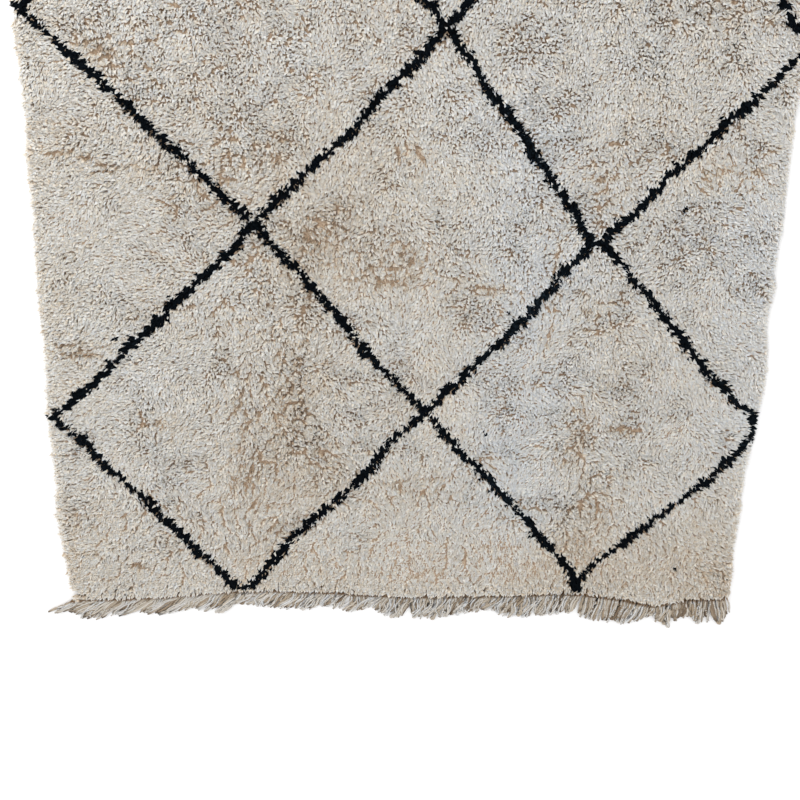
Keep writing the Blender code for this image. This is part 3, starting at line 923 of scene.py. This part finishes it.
# The fringe: plied warp ends in three layers
fringeLook = {
    "rootRange": (-0.769, 0.790),
    "spacing": 0.0076,
    "groupWidth": 0.029,
    "rootInset": 0.014,
    "droop": 0.0108,  # how far the pile's edge hides or shades the yarns past its roots
    "toneRun": ((-0.80, 0.05), (-0.30, 0.08), (0.00, 0.12), (0.35, 0.03), (0.80, 0.00)),
    "toneSpread": 0.20,
    "steps": 15,
    "seed": 23,
    "yarnRadius": 0.0027,
    "radiusVaries": (0.88, 1.12),
    "reachVaries": (0.86, 1.06),
    "groupReach": 0.05,
    "gather": 0.6,  # how much a group's yarns draw together towards its tips
    "leanStray": 0.003,
    "groupBow": 0.60,
    "bowStray": 0.0018,
    "groupTilt": 0.0016,
    "heightVaries": (-0.0006, 0.0010),
    "sag": 0.20,
    "wave": 0.0026,
    "waveLift": 0.0010,
    "groupShade": 0.14,
    "tipTaper": 0.7,
    "loopBend": 0.0031,
    "loopBack": 0.45,  # the share of a loop's length that comes back
    "loopLift": 0.0014,
    "loopEnd": 0.8,  # a loop keeps its body's colour, from here on along the run
    "hiddenRun": 0.3,  # the share of the colour's run that is under the pile
    "layers": (
        # height of its yarns, their shares of the reach, the lean, the radius and the waviness, tone, lower
        # in the lower layers as painted shade
        (0.0033, 0.95, 0.90, 1.32, 0.4, 0.18),
        (0.0055, 0.98, 1.10, 1.05, 0.9, 0.46),
        (0.0076, 1.00, 0.96, 0.80, 1.1, 0.78),
    ),
    # how far past the pile the yarns end, by the place across of their tips
    "tips": (
        (-0.880, 0.058), (-0.849, 0.062), (-0.812, 0.056), (-0.772, 0.078), (-0.737, 0.075), (-0.665, 0.059),
        (-0.594, 0.064), (-0.522, 0.050), (-0.451, 0.055), (-0.398, 0.036), (-0.307, 0.043), (-0.272, 0.051),
        (-0.200, 0.040), (-0.127, 0.052), (-0.091, 0.044), (-0.018, 0.068), (0.091, 0.067), (0.164, 0.053),
        (0.237, 0.055), (0.274, 0.069), (0.347, 0.057), (0.421, 0.051), (0.459, 0.070), (0.534, 0.078),
        (0.572, 0.080), (0.612, 0.066), (0.655, 0.088), (0.686, 0.066), (0.740, 0.074), (0.797, 0.078),
        (0.808, 0.058), (0.830, 0.050),
    ),
    "stations": (
        # across, lean, how much groups differ in lean, radius share, waviness, share that end in loops
        (-0.790, -0.066, 0.006, 0.92, 1.2, 0.0),
        (-0.755, -0.080, 0.010, 0.92, 1.4, 0.0),
        (-0.700, -0.084, 0.018, 0.92, 1.6, 0.0),
        (-0.600, -0.084, 0.020, 0.92, 1.6, 0.0),
        (-0.530, -0.080, 0.020, 0.94, 1.6, 0.0),
        (-0.460, -0.074, 0.018, 0.94, 1.6, 0.0),
        (-0.390, -0.060, 0.016, 0.95, 1.6, 0.1),
        (-0.330, -0.052, 0.014, 0.98, 1.8, 0.1),
        (-0.240, -0.052, 0.014, 0.95, 1.6, 0.0),
        (-0.170, -0.044, 0.014, 0.95, 1.7, 0.1),
        (-0.100, -0.034, 0.012, 0.92, 1.8, 0.1),
        (0.000, -0.024, 0.010, 0.92, 1.8, 0.1),
        (0.107, -0.020, 0.010, 0.92, 1.8, 0.1),
        (0.185, -0.030, 0.012, 0.95, 1.8, 0.1),
        (0.294, -0.026, 0.012, 0.98, 1.8, 0.2),
        (0.365, -0.026, 0.010, 1.00, 1.2, 0.2),
        (0.435, -0.020, 0.006, 1.05, 0.7, 0.1),
        (0.500, -0.012, 0.004, 1.08, 0.5, 0.1),
        (0.580, -0.034, 0.004, 1.10, 0.5, 0.1),
        (0.625, -0.014, 0.006, 1.12, 0.8, 0.2),
        (0.665, 0.004, 0.008, 1.15, 0.8, 0.3),
        (0.733, 0.006, 0.008, 1.15, 0.7, 0.3),
        (0.790, 0.020, 0.008, 1.05, 0.7, 0.1),
    ),
    "notches": ((-0.372, 0.007, 0.55), (0.196, 0.008, 0.50), (0.690, 0.005, 0.86)),
}


# A yarn end goes out from the pile, and a loop comes part of the way back beside itself
def yarnPath(length, isLoop):
    steps = fringeLook["steps"]
    if not isLoop:
        return [(length * step / (steps - 1), 0.0) for step in range(steps)]
    bend, back = fringeLook["loopBend"], fringeLook["loopBack"] * length
    straight = [(share * (length - bend), 0.0) for share in (0, 0.25, 0.5, 0.75, 1.0)]
    turn = [(length - bend + bend * math.sin(a), bend - bend * math.cos(a))
            for a in (math.pi * n / 6 for n in range(1, 6))]
    left = steps - len(straight) - len(turn)
    home = [(length - bend - back * n / (left - 1), 2 * bend) for n in range(left)]
    return straight + turn + home


# How far along the colour's run a point is that lies so far out on its yarn
def colourRun(out, total, isLoop):
    hidden, share = fringeLook["rootInset"] + fringeLook["droop"], fringeLook["hiddenRun"]
    if out < hidden:
        return share * out / hidden
    run = share + (1 - share) * (out - hidden) / (total - hidden)
    return min(run, fringeLook["loopEnd"]) if isLoop else run


# Sines of a group's number stand in for draws, so that its yarns lean, bow and end alike
def layYarnEnds():
    look = fringeLook
    rng = np.random.default_rng(look["seed"])
    stations = np.array(look["stations"]).T
    points, edges, marks = [], [], []
    for height, reachShare, leanShare, radiusShare, waveShare, layerShadeTone in look["layers"]:
        for root in np.arange(*look["rootRange"], look["spacing"]):
            root += rng.uniform(-0.5, 0.5) * look["spacing"]
            lean, differ, thick, wavy, loops = (np.interp(root, stations[0], row) for row in stations[1:])
            wavy *= waveShare
            # groups are uneven in width, and those of one layer lie across those of the next
            layerShift = 2 * height / look["yarnRadius"] / 3
            shifted = root / look["groupWidth"] + layerShift + 0.25 * math.sin(root * 37)
            group = math.floor(shifted)
            inGroup = shifted - group - 0.5
            groupLean = math.sin(group * 2.7 + height * 900) - look["gather"] * inGroup
            lean = lean * leanShare + groupLean * differ + rng.normal(0, look["leanStray"]) * wavy
            rootX = root + middleX
            rootY = pileEnd(rootX) + look["rootInset"]
            reach = readTable(look["tips"], root + lean) * reachShare * rng.uniform(*look["reachVaries"])
            reach *= 1 + look["groupReach"] * math.sin(group * 1.9)
            for notch, half, share in look["notches"]:
                reach *= 1 - (1 - share) * math.exp(-(((root + 0.7 * lean - notch) / half) ** 2))
            low = height - look["groupTilt"] * inGroup + rng.uniform(*look["heightVaries"])
            bow = look["groupBow"] * differ * math.sin(group * 1.3 + height * 500)
            bow += rng.normal(0, look["bowStray"]) * wavy
            phase, isLoop = group * 2.3 + rng.uniform(-0.7, 0.7), rng.random() < loops
            rise = rng.uniform(0, 6.3)
            total = reach + rootY - fringedY
            radius = look["yarnRadius"] * thick * radiusShare * rng.uniform(*look["radiusVaries"])
            # painted shade: the lower layers and the lower side of each group get a darker tone
            tone = layerShadeTone - look["groupShade"] * inGroup + readTable(look["toneRun"], root)
            tone = np.clip(tone + rng.uniform(-1, 1) * look["toneSpread"], 0.03, 0.97)
            path = yarnPath(total, isLoop)
            edges += [(len(points) + n, len(points) + n + 1) for n in range(len(path) - 1)]
            for number, (out, side) in enumerate(path):
                t = out / total
                wave = look["wave"] * wavy * min(1, 1.6 * t) * math.sin(9 * t + phase)
                px = rootX + lean * (0.55 * t + 0.45 * t * t) + bow * math.sin(math.pi * t) + wave + side
                pz = low * (1 - look["sag"] * t) + (look["loopLift"] if side else 0.0)
                pz += look["waveLift"] * wavy * min(1, 2.5 * t) * math.sin(7 * t + rise)
                # the lowest yarns lie on the floor
                points.append((px, rootY - out, max(pz, 1.2 * radius + 0.0001)))
                taper = look["tipTaper"] if number == len(path) - 1 else 1
                marks.append((colourRun(out, total, isLoop), tone, radius * taper))
    mesh = bpy.data.meshes.new("yarnEnds")
    mesh.from_pydata(points, edges, [])
    giveValues(mesh, dict(zip(("along", "tone", "thick"), zip(*marks))))
    print("fringe:", len(points) // look["steps"], "yarn ends")
    return mesh


yarnLook = {
    "Twists": 30.0,  # turns a metre
    "Sides": 5,
    "Flattened": (1.18, 0.84, 1.0),
}


def plyYarnTree():
    tree, given = startTree("plyYarn", {
        "Yarn": "Material", "Twists": "Float", "Sides": "Int", "Flattened": "Vector"})
    lines = addNode(tree, "GeometryNodeMeshToCurve", {0: given["Geometry"]}).outputs[0]
    length = addNode(tree, "GeometryNodeSplineParameter").outputs["Length"]
    turn = doMath(tree, "MULTIPLY", length, doMath(tree, "MULTIPLY", given["Twists"], 2 * math.pi))
    lines = addNode(tree, "GeometryNodeSetCurveTilt", {"Curve": lines, "Tilt": turn}).outputs[0]
    ring = addNode(tree, "GeometryNodeCurvePrimitiveCircle", {"Resolution": given["Sides"], "Radius": 1.0})
    around = addNode(tree, "GeometryNodeSplineParameter").outputs["Factor"]
    ring = storeAttribute(tree, ring.outputs[0], "around", around)
    place = addNode(tree, "GeometryNodeInputPosition").outputs[0]
    squeezed = doVector(tree, "MULTIPLY", place, given["Flattened"])
    ring = addNode(tree, "GeometryNodeSetPosition", {"Geometry": ring, "Position": squeezed}).outputs[0]
    inputs = {"Curve": lines, "Profile Curve": ring, "Scale": readAttribute(tree, "thick"), "Fill Caps": True}
    tube = addNode(tree, "GeometryNodeCurveToMesh", inputs).outputs[0]
    tube = addNode(tree, "GeometryNodeSetShadeSmooth", {"Geometry": tube, "Shade Smooth": True}).outputs[0]
    return endTree(tree, storePalette(tree, tube, readAttribute(tree, "around")), given["Yarn"])


def growFringe(material):
    return growPiece("fringeYarn", layYarnEnds(), plyYarnTree(), {**yarnLook, "Yarn": material})


makeCamera()
makeStudio()
base = makeGround(makeGroundCloth())
print("ground:", len(base.data.polygons), "faces")
pile = growPile({"cream": makeWool("creamWool"), "dark": makeWool("darkWool")})
fringe = growFringe(makeWool("warpYarn"))

for piece in (base, *pile, fringe):
    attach(piece, "root")
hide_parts("rug")
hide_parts("fringe")
for piece in (base, *pile, fringe):
    print(piece.name, sum(len(p.vertices) - 2 for p in piece.data.polygons), "triangles")
